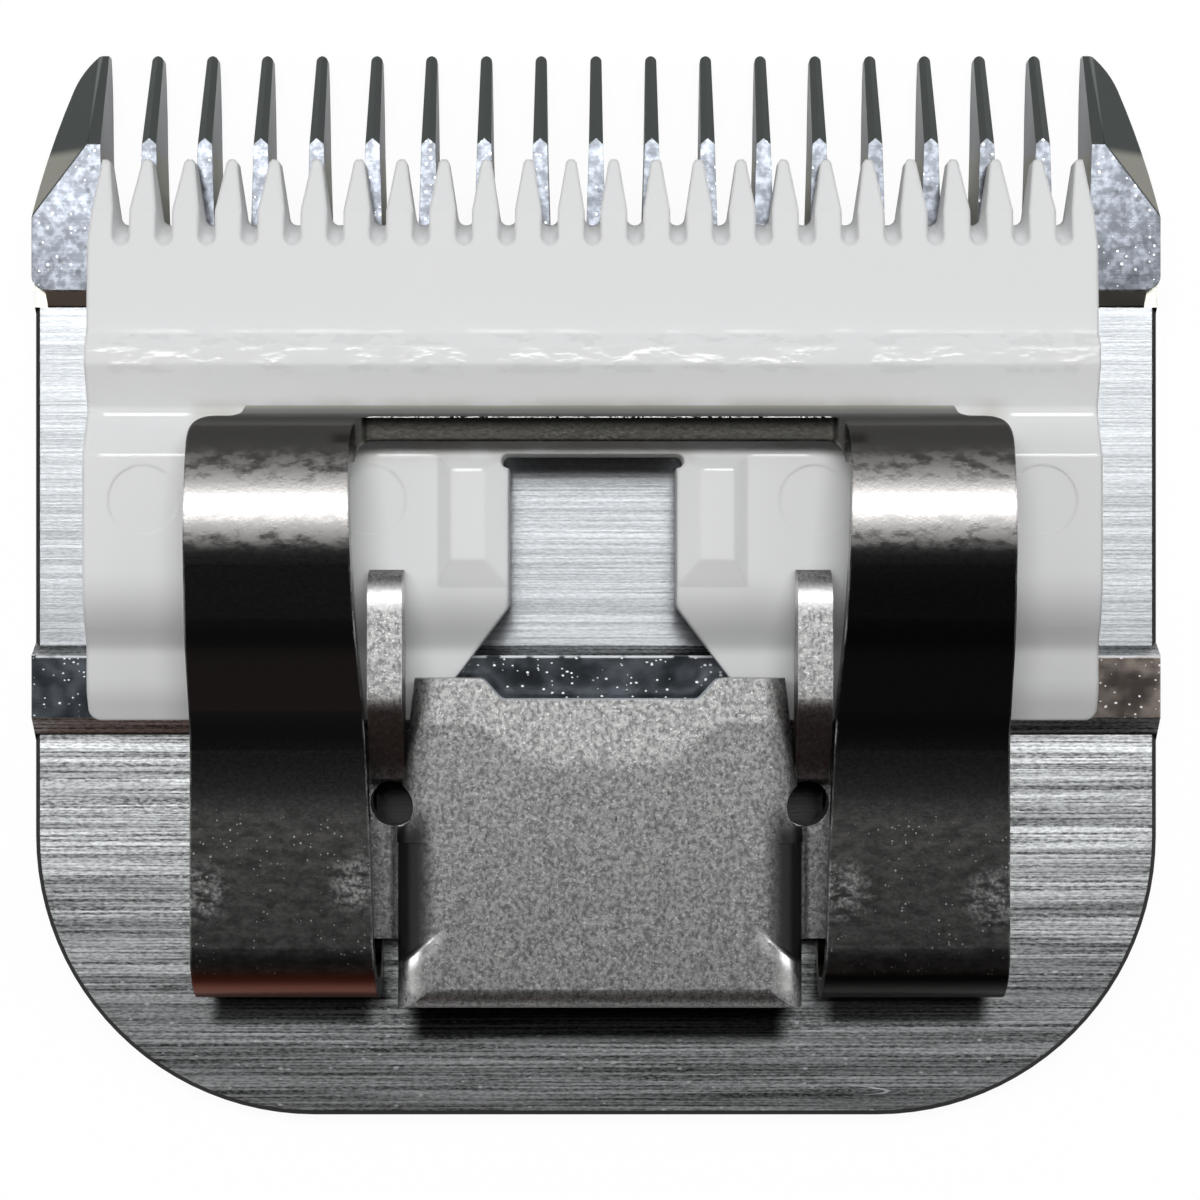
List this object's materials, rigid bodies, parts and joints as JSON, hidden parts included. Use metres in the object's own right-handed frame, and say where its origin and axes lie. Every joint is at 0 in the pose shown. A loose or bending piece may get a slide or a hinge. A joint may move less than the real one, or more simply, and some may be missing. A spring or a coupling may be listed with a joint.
{
  "type": "hair clipper blade",
  "caption": "Detachable hair clipper blade set: steel comb, sliding white ceramic cutter, folded tension spring and hinge socket held by screws.",
  "frame": {"origin": "middle of the blade set's footprint, on the comb's flat skin side", "axes": "+X across the blade, +Y towards the tips of the teeth, +Z away from the skin, towards the clipper"},
  "size_m": [0.049, 0.0466, 0.0089],
  "materials": {
    "comb_steel": "brushed, with ground and polished running faces",
    "ceramic": "smooth white, lightly oiled",
    "spring_steel": "tumbled, worn bright at the edges",
    "socket_steel": "blasted, fine grained",
    "screw_steel": "turned"
  },
  "bodies": {
    "blade_base": {"comb": "comb_steel", "tension_spring": "spring_steel", "socket": "socket_steel", "screw_left": "screw_steel", "screw_right": "screw_steel"},
    "cutter_body": {"cutter": "ceramic"}
  },
  "joints": [
    {"name": "cutter_slide", "type": "slide", "parent": "blade_base", "child": "cutter_body", "axis": [1, 0, 0], "range_m": [-0.00105, 0.00135]}
  ]
}
